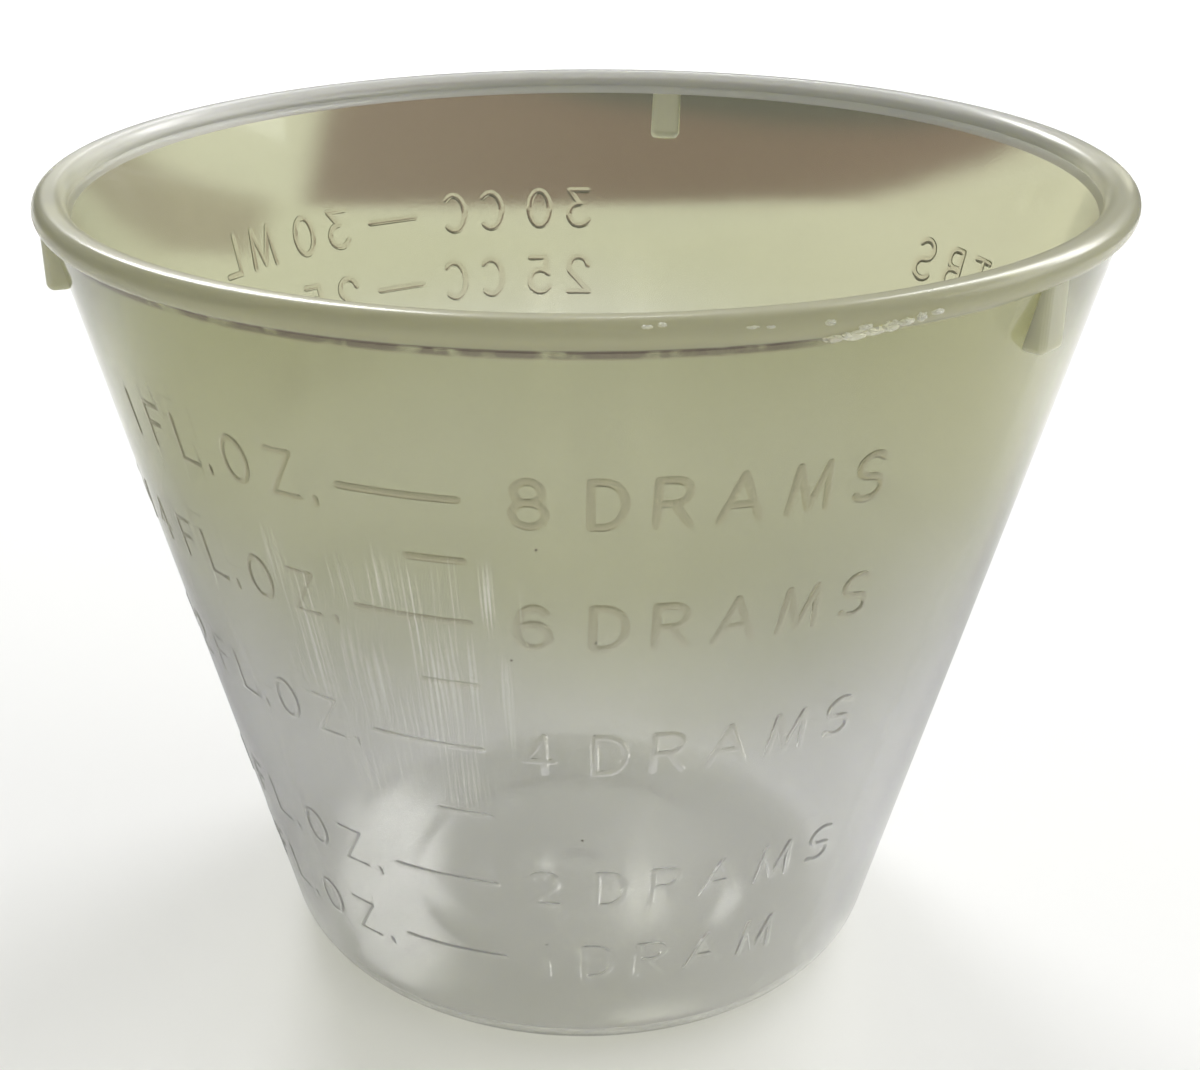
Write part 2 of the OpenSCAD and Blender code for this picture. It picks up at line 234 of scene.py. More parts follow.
def arc(x, y, rx, ry, start, end):
    steps = max(4, round(abs(end - start) / 15))
    return [
        (x + rx * math.cos(math.radians(start + (end - start) * i / steps)),
         y + ry * math.sin(math.radians(start + (end - start) * i / steps)))
        for i in range(steps + 1)
    ]


def loop(x, y, rx, ry):
    return arc(x, y, rx, ry, 0, 360)


letterStrokes = {
    "0": [loop(0.3, 0.5, 0.3, 0.5)],
    "O": [loop(0.3, 0.5, 0.3, 0.5)],
    "1": [[(0, 0), (0, 1)]],
    "2": [arc(0.3, 0.71, 0.28, 0.29, 170, -35) + [(0, 0)], [(0, 0), (0.6, 0)]],
    "3": [[(0.02, 1), (0.56, 1)], [(0.56, 1), (0.28, 0.62)], arc(0.27, 0.31, 0.31, 0.31, 95, -150)],
    "4": [[(0.42, 1), (0, 0.32)], [(0, 0.32), (0.6, 0.32)], [(0.42, 1), (0.42, 0)]],
    "5": [[(0.1, 1), (0.54, 1)], [(0.1, 1), (0.06, 0.55)], arc(0.27, 0.32, 0.31, 0.32, 140, -150)],
    "6": [loop(0.3, 0.3, 0.3, 0.3), arc(0.33, 0.46, 0.33, 0.54, 50, 180)],
    "8": [loop(0.3, 0.76, 0.25, 0.24), loop(0.3, 0.27, 0.3, 0.27)],
    "A": [[(0, 0), (0.38, 1)], [(0.38, 1), (0.76, 0)], [(0.14, 0.34), (0.62, 0.34)]],
    "B": [[(0, 0), (0, 1)], [(0, 1)] + arc(0.28, 0.77, 0.22, 0.23, 90, -90) + [(0, 0.54)],
          [(0, 0.5)] + arc(0.3, 0.25, 0.26, 0.25, 90, -90) + [(0, 0)]],
    "C": [arc(0.33, 0.5, 0.33, 0.5, 50, 310)],
    "D": [[(0, 0), (0, 1)], [(0, 1)] + arc(0.22, 0.5, 0.4, 0.5, 90, -90) + [(0, 0)]],
    "F": [[(0, 0), (0, 1)], [(0, 1), (0.5, 1)], [(0, 0.55), (0.42, 0.55)]],
    "L": [[(0, 0), (0, 1)], [(0, 0), (0.52, 0)]],
    "M": [[(0, 0), (0.1, 1)], [(0.1, 1), (0.4, 0.05)], [(0.4, 0.05), (0.7, 1)], [(0.7, 1), (0.8, 0)]],
    "P": [[(0, 0), (0, 1)], [(0, 1)] + arc(0.3, 0.74, 0.26, 0.26, 90, -90) + [(0, 0.48)]],
    "R": [[(0, 0), (0, 1)], [(0, 1)] + arc(0.3, 0.74, 0.28, 0.26, 90, -90) + [(0, 0.48)], [(0.3, 0.48), (0.6, 0)]],
    "S": [arc(0.3, 0.75, 0.28, 0.25, 35, 260) + arc(0.3, 0.25, 0.3, 0.25, 80, -145)],
    "T": [[(0, 1), (0.62, 1)], [(0.31, 1), (0.31, 0)]],
    "Z": [[(0.02, 1), (0.6, 1)], [(0.6, 1), (0, 0)], [(0, 0), (0.62, 0)]],
    "/": [[(0, -0.05), (0.45, 1.05)]],
    ".": [[(0, -0.08), (0, 0.08)]],
}


def fillHeight(volume):
    cube = 3 * slope * volume / math.pi + innerRadius(cup["floor"]) ** 3
    return (cube ** (1 / 3) - innerRadius(0)) / slope


def arcAngle(length, z):
    return math.degrees(length / outerRadius(z))


def strokeReach(c):
    return max([0] + [p[0] for path in letterStrokes[c] for p in path])


def letterWidth(c):
    return strokeReach(c) * letterHeight + marks["strokeWidth"]


# Length along a word up to the left edge of letter i.
def wordOffset(word, i):
    if i == 0:
        return 0
    before = wordOffset(word, i - 1)
    if word[i - 1] == " ":
        return before + marks["wordGap"] - marks["letterGap"]
    gap = marks["stopGap"] if word[i] == "." else marks["letterGap"]
    return before + letterWidth(word[i - 1]) + gap


def wordWidth(word):
    return wordOffset(word, len(word) - 1) + letterWidth(word[-1])


# Point on the wall's face, u round it and v up it from a letter's middle, in mm.
def onWall(azimuth, z, u, v, lift):
    reach = outerRadius(z) + v * math.sin(halfAngle)
    angle = math.radians(azimuth) + math.atan2(u, reach)
    height = z + v * math.cos(halfAngle) - lift * math.sin(halfAngle)
    radius = outerRadius(z + v * math.cos(halfAngle)) + lift * math.cos(halfAngle)
    return Vector((radius * math.cos(angle), radius * math.sin(angle), height)) * mm


# A round bar along points in metres, with round ends.
def strokeTube(points, radius, closed):
    curve = bpy.data.curves.new("stroke", "CURVE")
    curve.dimensions = "3D"
    curve.bevel_depth = radius * mm
    curve.bevel_resolution = marks["sides"]
    curve.use_fill_caps = True
    if closed:
        points = points[:-1]
        sizes = [1.0] * len(points)
    else:
        first = (points[0] - points[1]).normalized() * radius * mm
        last = (points[-1] - points[-2]).normalized() * radius * mm
        capSteps = [(0.98, 0.12), (0.8, 0.6), (0.45, 0.89)]
        before = [points[0] + first * out for out, _ in capSteps]
        after = [points[-1] + last * out for out, _ in reversed(capSteps)]
        sizes = [size for _, size in capSteps] + [1.0] * len(points) + [size for _, size in reversed(capSteps)]
        points = before + points + after
    spline = curve.splines.new("POLY")
    spline.points.add(len(points) - 1)
    for point, place, size in zip(spline.points, points, sizes):
        point.co = (*place, 1)
        point.radius = size
    spline.use_cyclic_u = closed
    bar = bpy.data.objects.new("stroke", curve)
    bpy.context.scene.collection.objects.link(bar)
    useOnly(bar)
    bpy.ops.object.convert(target="MESH")
    bpy.ops.object.mode_set(mode="EDIT")
    bpy.ops.mesh.select_all(action="SELECT")
    bpy.ops.mesh.remove_doubles(threshold=0.001 * mm)  # the caps come loose
    bpy.ops.mesh.normals_make_consistent(inside=False)
    bpy.ops.object.mode_set(mode="OBJECT")
    return bpy.context.object


def joinStrokes(tubes):
    first = tubes[0]
    for extra in tubes[1:]:
        uniteWith(first, extra)
    return first


def raisedLetter(c, azimuth, z, sink):
    tubes = []
    shift = strokeReach(c) / 2
    for path in letterStrokes[c]:
        points = [onWall(azimuth, z, (x - shift) * letterHeight, (y - 0.5) * letterHeight, -sink) for x, y in path]
        closed = math.dist(path[0], path[-1]) < 0.01
        tubes.append(strokeTube(points, marks["cutter"], closed))
    return joinStrokes(tubes)


def raisedWord(word, start, z, sink):
    letters = []
    for i, c in enumerate(word):
        if c != " ":
            middle = wordOffset(word, i) + letterWidth(c) / 2
            letters.append(raisedLetter(c, start + arcAngle(middle, z), z, sink))
    return letters


def labelAfter(word, azimuth, z):
    return raisedWord(word, azimuth - arcAngle(letterWidth(word[0]) / 2, z), z, marks["sink"])


def labelBefore(word, azimuth, z):
    return raisedWord(word, azimuth - arcAngle(wordWidth(word) + marks["letterGap"], z), z, marks["faintSink"])


def scaleLine(angle, end, z):
    steps = max(4, round(angle / 1.2))
    trim = math.degrees(0.2 / outerRadius(z))
    first, last = end - angle + trim, end - trim
    points = [onWall(first + (last - first) * i / steps, z, 0, 0, -marks["sink"]) for i in range(steps + 1)]
    return strokeTube(points, marks["cutter"], False)


def allMarks():
    made = []
    lineEnd = marks["dramAzimuth"] - marks["lineLead"]
    fractions = {8: "1", 6: "3/4", 4: "1/2", 2: "1/4", 1: "1/8"}
    for count in range(1, 9):
        z = fillHeight(count * volumes["dram"])
        length = marks["longLine"] if count in fractions else marks["shortLine"]
        made.append(scaleLine(arcAngle(length, z), lineEnd, z))
        if count in fractions:
            made += labelAfter(f"{count} DRAM" + ("S" if count > 1 else ""), marks["dramAzimuth"], z)
            made += labelBefore(fractions[count] + " FL.OZ.", lineEnd - arcAngle(marks["longLine"], z), z)
    for count in range(5, 31, 5):
        z = fillHeight(count * volumes["millilitre"]) - marks["farDrop"]
        made.append(scaleLine(marks["metricLine"], marks["mlAzimuth"] - marks["metricLead"], z))
        made += labelAfter(f"{count} CC", marks["ccAzimuth"], z)
        made += labelAfter(f"{count} ML", marks["mlAzimuth"], z)
    for word, count, measure in (("2 TBS", 2, "tablespoon"), ("1 TBS", 1, "tablespoon"), ("1 TSP", 1, "teaspoon")):
        z = fillHeight(count * volumes[measure]) - marks["farDrop"]
        made.append(scaleLine(arcAngle(marks["shortLine"], z), marks["spoonAzimuth"] - marks["lineLead"], z))
        made += labelAfter(word, marks["spoonAzimuth"], z)
    return made


# material slots: 0 is the wall's
rimSlot, lugSlot, markSlot, flashSlot = 1, 2, 3, 4


# Gives a piece the five empty slots and puts its faces in one of them.
def holdSlots(piece, slot):
    for _ in range(5):
        piece.data.materials.append(None)
    for face in piece.data.polygons:
        face.material_index = slot


raised = allMarks()
deselectAll()
for piece in raised:
    piece.select_set(True)
bpy.context.view_layer.objects.active = raised[0]
bpy.ops.object.join()
markSolids = bpy.context.object
holdSlots(cupShell, 0)
holdSlots(markSolids, markSlot)
print("marks made:", len(markSolids.data.polygons), "faces")
uniteWith(cupShell, markSolids)
print("marks joined to the shell:", len(cupShell.data.polygons), "faces")


# Lugs under the bead that keep nested cups apart
lug = {"azimuth": 75.8, "width": 1.6, "height": 2.6, "inset": 0.25, "edge": 0.35, "root": 0.14}  # mm, degrees


def nestingLug(azimuth):
    top = cup["height"] - cup["beadHeight"]
    rimR = outerRadius(cup["height"] - cup["beadHeight"] / 2) + cup["beadProud"]
    outer = rimR - lug["inset"]
    low = top - lug["height"]
    root = outerRadius(low) - lug["root"]
    height = lug["height"] + cup["beadHeight"] / 2
    deselectAll()
    bpy.ops.mesh.primitive_cube_add(size=mm, location=((outer + root) / 2 * mm, 0, (low + height / 2) * mm))
    piece = bpy.context.object
    piece.scale = (outer - root, lug["width"], height)
    bpy.ops.object.transform_apply(location=True, rotation=False, scale=True)
    # round the outer edges and the bottom
    bpy.ops.object.mode_set(mode="EDIT")
    bpy.ops.mesh.select_all(action="DESELECT")
    bpy.ops.object.mode_set(mode="OBJECT")
    for edge in piece.data.edges:
        ends = [piece.data.vertices[i].co for i in edge.vertices]
        outside = all(p.x > (outer - 0.01) * mm for p in ends)
        below = all(p.z < (low + 0.01) * mm for p in ends)
        upright = abs(ends[0].z - ends[1].z) > 0.5 * mm
        inwards = abs(ends[0].x - ends[1].x) > 0.5 * mm
        edge.select = (outside and (upright or below)) or (below and inwards)
    bpy.ops.object.mode_set(mode="EDIT")
    bpy.ops.mesh.bevel(offset=lug["edge"] * mm, segments=5, affect="EDGES")
    bpy.ops.mesh.select_all(action="SELECT")
    bpy.ops.mesh.normals_make_consistent(inside=False)
    bpy.ops.object.mode_set(mode="OBJECT")
    piece.rotation_euler = (0, 0, math.radians(azimuth))
    bpy.ops.object.transform_apply(location=True, rotation=True, scale=True)
    return piece


for turn in range(3):
    uniteWith(cupShell, nestingLug(lug["azimuth"] + 120 * turn))
print("lugs joined:", len(cupShell.data.polygons), "faces")

# Torn flash left at the parting line under the bead
flash = {
    # azimuth in degrees, height in mm, length round the rim, height, depth, all in mm
    "pieces": [
        (-71.0, 37.50, 0.9, 0.40, 0.36), (-69.4, 37.56, 1.1, 0.50, 0.42), (-67.6, 37.60, 1.0, 0.36, 0.46),
        (-68.6, 37.80, 0.6, 0.24, 0.30), (-66.2, 37.70, 0.8, 0.44, 0.38), (-64.7, 37.78, 0.7, 0.30, 0.46),
        (-63.2, 37.86, 0.5, 0.34, 0.38), (-61.6, 37.93, 0.6, 0.22, 0.36), (-71.8, 38.12, 0.45, 0.22, 0.24),
        (-86.8, 38.36, 0.4, 0.16, 0.18), (-85.6, 38.40, 0.3, 0.18, 0.18), (-78.4, 38.2, 0.5, 0.12, 0.2),
        (-76.9, 38.16, 0.35, 0.12, 0.2),
    ],
    "ragged": 0.45,
    "sunk": 0.12,  # share of its depth
}


def tornPiece(azimuth, z, length, height, depth, seed):
    rimR = outerRadius(cup["height"] - cup["beadHeight"] / 2) + cup["beadProud"]
    middle = cup["height"] - cup["beadHeight"] / 2
    inset = cup["beadHeight"] / 2 - math.sqrt(max(0.01, (cup["beadHeight"] / 2) ** 2 - (z - middle) ** 2))
    deselectAll()
    middleR = rimR - inset - depth * flash["sunk"]
    bpy.ops.mesh.primitive_ico_sphere_add(subdivisions=3, radius=mm / 2, location=(middleR * mm, 0, z * mm))
    piece = bpy.context.object
    piece.scale = (depth, length, height)
    bpy.ops.object.transform_apply(location=False, rotation=False, scale=True)
    bpy.ops.object.mode_set(mode="EDIT")
    bpy.ops.mesh.select_all(action="SELECT")
    bpy.ops.transform.vertex_random(offset=flash["ragged"] * height * 0.35 * mm, uniform=0.6, normal=0.4, seed=seed)
    bpy.ops.mesh.vertices_smooth(factor=0.3, repeat=1)
    bpy.ops.mesh.normals_make_consistent(inside=False)
    bpy.ops.object.mode_set(mode="OBJECT")
    bpy.ops.object.transform_apply(location=True, rotation=True, scale=True)
    piece.rotation_euler = (0, 0, math.radians(azimuth))
    bpy.ops.object.transform_apply(location=True, rotation=True, scale=True)
    holdSlots(piece, flashSlot)
    return piece


for seed, (azimuth, z, length, height, depth) in enumerate(flash["pieces"]):
    uniteWith(cupShell, tornPiece(azimuth, z, length, height, depth, seed))
print("flash joined:", len(cupShell.data.polygons), "faces")

useOnly(cupShell)
bpy.ops.object.shade_smooth_by_angle(angle=math.radians(14.5))


# Materials
# Adds a node, sets its options and its plain inputs, and links inputs that are sockets.
def makeNode(tree, kind, settings=None, values=None):
    node = tree.nodes.new(kind)
    for name, value in (settings or {}).items():
        setattr(node, name, value)
    for name, value in (values or {}).items():
        if isinstance(value, bpy.types.NodeSocket):
            tree.links.new(value, node.inputs[name])
        else:
            node.inputs[name].default_value = value
    return node


def mathNode(tree, operation, a, b=None, c=None):
    values = {i: v for i, v in enumerate((a, b, c)) if v is not None}
    return makeNode(tree, "ShaderNodeMath", {"operation": operation}, values).outputs[0]


# 0 below low, 1 above high, eased between.
def ramp(tree, value, low, high):
    values = {"Value": value, "From Min": low, "From Max": high}
    return makeNode(tree, "ShaderNodeMapRange", {"interpolation_type": "SMOOTHSTEP"}, values).outputs["Result"]


def mixColour(tree, factor, a, b):
    node = makeNode(tree, "ShaderNodeMix", {"data_type": "RGBA"}, {"Factor": factor, "A": a, "B": b})
    return node.outputs["Result"]


def product(tree, a, b):
    return mathNode(tree, "MULTIPLY", a, b)


# 1 between low and high, eased inwards over fade.
def between(tree, value, low, high, fade):
    return product(tree, ramp(tree, value, low, low + fade), ramp(tree, value, high, high - fade))


def noise(tree, place, scale, detail, roughness=0.5):
    values = {"Vector": place, "Scale": scale, "Detail": detail, "Roughness": roughness}
    return makeNode(tree, "ShaderNodeTexNoise", values=values).outputs["Fac"]


def distance(tree, place, spot):
    return makeNode(tree, "ShaderNodeVectorMath", {"operation": "DISTANCE"}, {0: place, 1: spot}).outputs["Value"]


# How far a place is from the cup's axis.
def axisDistance(tree, axes):
    across = makeNode(tree, "ShaderNodeCombineXYZ", values={"X": axes["X"], "Y": axes["Y"]}).outputs["Vector"]
    return makeNode(tree, "ShaderNodeVectorMath", {"operation": "LENGTH"}, {0: across}).outputs["Value"]


def newGroup(name, inputs, outputs):
    group = bpy.data.node_groups.new(name, "ShaderNodeTree")
    for label, kind, value in inputs:
        socket = group.interface.new_socket(label, in_out="INPUT", socket_type=kind)
        if value is not None:
            socket.default_value = value
    for label, kind in outputs:
        group.interface.new_socket(label, in_out="OUTPUT", socket_type=kind)
    return group, group.nodes.new("NodeGroupInput"), group.nodes.new("NodeGroupOutput")


def useGroup(tree, group, values):
    node = tree.nodes.new("ShaderNodeGroup")
    node.node_tree = group
    for name, value in values.items():
        if isinstance(value, bpy.types.NodeSocket):
            tree.links.new(value, node.inputs[name])
        else:
            node.inputs[name].default_value = value
    return node


scuffs = {
    "azimuthFrom": -134, "azimuthTo": -94, "azimuthFade": 8,  # degrees
    "heightFrom": 12.5, "heightTo": 30, "heightFade": 4,  # mm
    "across": 7.5,  # streaks to the millimetre
    "along": 0.16,
    "lift": 0.12,
    "linesFrom": 0.69,
    "linesTo": 0.79,
    "roughness": 0.15,
}


# Fine upright scratches in one patch of the wall, from object coordinates in metres.
def buildScuffGroup():
    group, enter, leave = newGroup("scuffMarks", [("Place", "NodeSocketVector", None)], [("Mask", "NodeSocketFloat")])
    axes = makeNode(group, "ShaderNodeSeparateXYZ", values={"Vector": enter.outputs["Place"]}).outputs
    azimuth = mathNode(group, "ARCTAN2", axes["Y"], axes["X"])
    height = mathNode(group, "MULTIPLY", axes["Z"], 1 / mm)
    low, high, fade = (math.radians(scuffs[k]) for k in ("azimuthFrom", "azimuthTo", "azimuthFade"))
    sides = between(group, azimuth, low, high, fade)
    low, high, fade = (scuffs[k] for k in ("heightFrom", "heightTo", "heightFade"))
    patch = product(group, sides, between(group, height, low, high, fade))
    u = mathNode(group, "MULTIPLY", azimuth, 19 * scuffs["across"])
    v = mathNode(group, "MULTIPLY", height, scuffs["along"])
    place = makeNode(group, "ShaderNodeCombineXYZ", values={"X": u, "Y": v}).outputs["Vector"]
    lifted = mathNode(group, "MULTIPLY_ADD", patch, scuffs["lift"], noise(group, place, 1.0, 0.8))
    lines = ramp(group, lifted, scuffs["linesFrom"], scuffs["linesTo"])
    group.links.new(product(group, lines, patch), leave.inputs["Mask"])
    return group


# Slow unevenness of a moulded face: a height for a bump, and a tone that drifts a little.
def buildUnevenGroup():
    inputs = [("Place", "NodeSocketVector", None), ("Size", "NodeSocketFloat", 120.0)]
    outputs = [("Height", "NodeSocketFloat"), ("Tone", "NodeSocketFloat")]
    group, enter, leave = newGroup("mouldedUnevenness", inputs, outputs)
    place = enter.outputs["Place"]
    wave = noise(group, place, enter.outputs["Size"], 1.5, 0.45)
    grain = noise(group, place, 6500.0, 1.0)
    group.links.new(mathNode(group, "MULTIPLY_ADD", grain, 0.02, wave), leave.inputs["Height"])
    group.links.new(noise(group, place, 55.0, 3.0), leave.inputs["Tone"])
    return group


specks = {
    "places": [(-96.2, 29.2), (-99.3, 23.9), (-90.3, 24.9), (-91.5, 14.2)],  # azimuth in degrees, height in mm
    "radius": 0.09,
}


# A few dark specks moulded into the wall.
def buildSpeckGroup():
    group, enter, leave = newGroup("darkSpecks", [("Place", "NodeSocketVector", None)], [("Mask", "NodeSocketFloat")])
    total = None
    for azimuth, z in specks["places"]:
        angle = math.radians(azimuth)
        spot = (outerRadius(z) * math.cos(angle) * mm, outerRadius(z) * math.sin(angle) * mm, z * mm)
        away = distance(group, enter.outputs["Place"], spot)
        near = ramp(group, away, specks["radius"] * mm, specks["radius"] * 0.4 * mm)
        total = near if total is None else mathNode(group, "MAXIMUM", total, near)
    group.links.new(total, leave.inputs["Mask"])
    return group


creaseShade = {"height": 37.3, "reach": 0.3, "azimuthFrom": -172, "azimuthTo": -68, "azimuthFade": 8}  # mm and degrees


# A thin dark line of painted shade in the crease under the bead, along its front.
def buildCreaseShadeGroup():
    group, enter, leave = newGroup("paintedCreaseShade", [("Place", "NodeSocketVector", None)], [("Mask", "NodeSocketFloat")])
    axes = makeNode(group, "ShaderNodeSeparateXYZ", values={"Vector": enter.outputs["Place"]}).outputs
    azimuth = mathNode(group, "ARCTAN2", axes["Y"], axes["X"])
    low, high, fade = (math.radians(creaseShade[k]) for k in ("azimuthFrom", "azimuthTo", "azimuthFade"))
    sides = between(group, azimuth, low, high, fade)
    away = mathNode(group, "ABSOLUTE", mathNode(group, "SUBTRACT", axes["Z"], creaseShade["height"] * mm))
    line = ramp(group, away, creaseShade["reach"] * mm, creaseShade["reach"] * 0.4 * mm)
    wallR = outerRadius(creaseShade["height"])
    outside = ramp(group, axisDistance(group, axes), (wallR - 0.3) * mm, (wallR - 0.1) * mm)
    tintShare = ramp(group, noise(group, enter.outputs["Place"], 900.0, 2.0), 0.25, 0.5)
    mask = product(group, product(group, line, sides), product(group, outside, tintShare))
    group.links.new(mask, leave.inputs["Mask"])
    return group


plastic = {
    # painted tint: highColour is olive, for the olive surroundings seen through the upper wall; lowColour is the plain
    # grey lower down
    "lowColour": (0.80, 0.80, 0.79, 1),
    "highColour": (0.57, 0.573, 0.392, 1),
    "litRightColour": (0.64, 0.635, 0.44, 1),  # painted light: the olive part is paler on the right, where brighter surroundings show through
    "ringShadeColour": (0.77, 0.77, 0.76, 1),  # the floor's outer ring, thicker than the wall, painted greyer for the shade under the cup seen through it
    "discColour": (0.80, 0.80, 0.79, 1),  # the raised disc in its middle, with less painted shade
    "beadColour": (0.58, 0.57, 0.41, 1),
    # painted light: paler and greyer at the rear, for the light from behind shining through the far rim
    "backlitRimColour": (0.69, 0.69, 0.665, 1),
    "lugColour": (0.62, 0.615, 0.46, 1),
    # painted light: the rear lug is whiter, for the light from behind shining through it
    "backlitLugColour": (0.93, 0.92, 0.84, 1),
    "flashColour": (0.86, 0.85, 0.70, 1),
    "markColour": (0.80, 0.74, 0.71, 1),  # brownish tint on the upper marks
    "speckColour": (0.10, 0.08, 0.06, 1),
    "scuffColour": (0.95, 0.94, 0.9, 1),
    "scuffStrength": 0.75,
    # painted shade in the crease under the bead
    "creaseShadeColour": (0.16, 0.12, 0.11, 1),
    "tintFrom": 15.0,  # mm above the table, where the painted olive tint starts
    "tintTo": 29.5,
    "tintDrift": 9.0,  # mm, how uneven the border is
    "litRightFrom": 0.006,  # metres from the axis
    "litRightTo": 0.024,
    "rearFade": 0.026,
    "floorReach": (14.35, 14.6),  # mm from the axis, across the floor's corner
    "floorTop": (1.55, 0.7),  # mm up, where the floor's colour ends at these two
    "discEdge": 0.6,
    "shadowColour": (0.9, 0.9, 0.84, 1),
    "floorRoughness": 0.06,
    "wave": 0.03,
}
# Values that a finish doesn't give are the wall's
wallFinish = {
    "transmission": 0.88, "roughness": 0.085, "scatter": 0.6, "depth": 0.8, "passing": 0.7, "ior": 1.49,
    "tone": "", "rearTone": "backlitRimColour", "rearFrom": -0.012, "tintShare": 0.0,
}
finishes = {
    "hazyWall": wallFinish,
    "milkyRim": wallFinish | {
        "transmission": 0.45, "roughness": 0.24, "scatter": 1.0, "depth": 1.3, "passing": 0.5, "ior": 1.36,
        "tone": "beadColour",
    },
    "frostyLugs": wallFinish | {
        "transmission": 0.15, "roughness": 0.3, "scatter": 1.0, "passing": 0.5, "ior": 1.4,
        "tone": "lugColour", "rearTone": "backlitLugColour", "rearFrom": -0.003,
    },
    "raisedMarks": wallFinish | {"tintShare": 1.0},
    "tornFlash": wallFinish | {
        "transmission": 0.5, "roughness": 0.2, "scatter": 1.0, "passing": 0.5, "ior": 1.4,
        "tone": "flashColour",
    },
}


def plasticMaterial(name, groups):
    finish = finishes[name]
    material = bpy.data.materials.new(name)
    material.use_nodes = True
    tree = material.node_tree
    skin = tree.nodes["Principled BSDF"]
    skin.inputs["IOR"].default_value = finish["ior"]
    skin.inputs["Transmission Weight"].default_value = finish["transmission"]
    skin.inputs["Subsurface Weight"].default_value = finish["scatter"]
    skin.inputs["Subsurface Scale"].default_value = finish["depth"] * mm
    skin.inputs["Subsurface Radius"].default_value = (1, 1, 0.8)
    place = makeNode(tree, "ShaderNodeTexCoord").outputs["Object"]
    parts = makeNode(tree, "ShaderNodeSeparateXYZ", values={"Vector": place}).outputs
    height = mathNode(tree, "MULTIPLY", parts["Z"], 1 / mm)
    uneven = useGroup(tree, groups["uneven"], {"Place": place}).outputs
    scuffed = useGroup(tree, groups["scuff"], {"Place": place}).outputs["Mask"]
    speck = useGroup(tree, groups["speck"], {"Place": place}).outputs["Mask"]
    creaseShaded = useGroup(tree, groups["creaseShade"], {"Place": place}).outputs["Mask"]
    # painted tint: olive towards the rim, with a soft uneven border, for the olive surroundings seen through the
    # plastic
    drift = mathNode(tree, "MULTIPLY_ADD", uneven["Tone"], plastic["tintDrift"], -plastic["tintDrift"] / 2)
    seenThroughTint = ramp(tree, mathNode(tree, "ADD", height, drift), plastic["tintFrom"], plastic["tintTo"])
    # painted light: the olive tint is paler towards the right
    litRight = ramp(tree, parts["X"], plastic["litRightFrom"], plastic["litRightTo"])
    high = mixColour(tree, litRight, plastic["highColour"], plastic["litRightColour"])
    colour = mixColour(tree, seenThroughTint, plastic["lowColour"], high)
    # the bead and lugs are a little paler, and painted paler still at the rear for the light from behind shining
    # through them
    if finish["tone"]:
        rear = ramp(tree, parts["Y"], finish["rearFrom"], finish["rearFrom"] + plastic["rearFade"])
        colour = mixColour(tree, rear, plastic[finish["tone"]], plastic[finish["rearTone"]])
    # painted shade: the floor, thicker than the wall up to its corners, is greyer for the shade under the cup seen
    # through it, and its raised disc less so
    reach = mathNode(tree, "MULTIPLY", axisDistance(tree, parts), 1 / mm)
    (near, far), (nearTop, farTop) = plastic["floorReach"], plastic["floorTop"]
    values = {"Value": reach, "From Min": near, "From Max": far, "To Min": nearTop, "To Max": farTop}
    floorTop = makeNode(tree, "ShaderNodeMapRange", values=values).outputs["Result"]
    inFloor = ramp(tree, mathNode(tree, "SUBTRACT", height, floorTop), 0.15, -0.15)
    onDisc = ramp(tree, reach, cup["discWidth"] / 2 + plastic["discEdge"], cup["discWidth"] / 2)
    floorShadeColour = mixColour(tree, onDisc, plastic["ringShadeColour"], plastic["discColour"])
    colour = mixColour(tree, inFloor, colour, floorShadeColour)
    # the upper marks are tinted a little darker and browner
    values = {"Factor": product(tree, seenThroughTint, finish["tintShare"]), "A": colour, "B": plastic["markColour"]}
    colour = makeNode(tree, "ShaderNodeMix", {"data_type": "RGBA", "blend_type": "MULTIPLY"}, values).outputs["Result"]
    colour = mixColour(tree, product(tree, scuffed, plastic["scuffStrength"]), colour, plastic["scuffColour"])
    # painted shade in the crease under the bead
    colour = mixColour(tree, creaseShaded, colour, plastic["creaseShadeColour"])
    colour = mixColour(tree, speck, colour, plastic["speckColour"])
    tree.links.new(colour, skin.inputs["Base Color"])
    roughness = mathNode(tree, "MULTIPLY_ADD", uneven["Tone"], 0.06, finish["roughness"] - 0.03)
    roughness = mathNode(tree, "MULTIPLY_ADD", inFloor, plastic["floorRoughness"] - finish["roughness"], roughness)
    tree.links.new(mathNode(tree, "MULTIPLY_ADD", scuffed, scuffs["roughness"], roughness), skin.inputs["Roughness"])
    values = {"Strength": 1.0, "Distance": plastic["wave"] * mm, "Height": uneven["Height"]}
    bump = makeNode(tree, "ShaderNodeBump", values=values)
    tree.links.new(bump.outputs["Normal"], skin.inputs["Normal"])
    # light from the lamps gets through the thin plastic
    thin = makeNode(tree, "ShaderNodeBsdfTransparent", values={"Color": plastic["shadowColour"]})
    toLamp = product(tree, makeNode(tree, "ShaderNodeLightPath").outputs["Is Shadow Ray"], finish["passing"])
    values = {"Fac": toLamp, 1: skin.outputs["BSDF"], 2: thin.outputs["BSDF"]}
    mixed = makeNode(tree, "ShaderNodeMixShader", values=values)
    tree.links.new(mixed.outputs["Shader"], tree.nodes["Material Output"].inputs["Surface"])
    return material


groups = {
    "scuff": buildScuffGroup(),
    "uneven": buildUnevenGroup(),
    "speck": buildSpeckGroup(),
    "creaseShade": buildCreaseShadeGroup(),
}
for slot, name in enumerate(finishes):
    cupShell.data.materials[slot] = plasticMaterial(name, groups)
rimFrom = cup["height"] - cup["beadHeight"] - 0.12
lugFrom = rimFrom - lug["height"] - 0.2
for face in cupShell.data.polygons:
    x, y, z = (v / mm for v in face.center)
    onLug = z > lugFrom and math.hypot(x, y) > outerRadius(z) + 0.02
    if face.material_index == flashSlot:
        continue
    if z > rimFrom:
        face.material_index = rimSlot
    elif onLug and face.material_index != markSlot:
        face.material_index = lugSlot
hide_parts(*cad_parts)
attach(cupShell, "root")
print("plastic assigned")


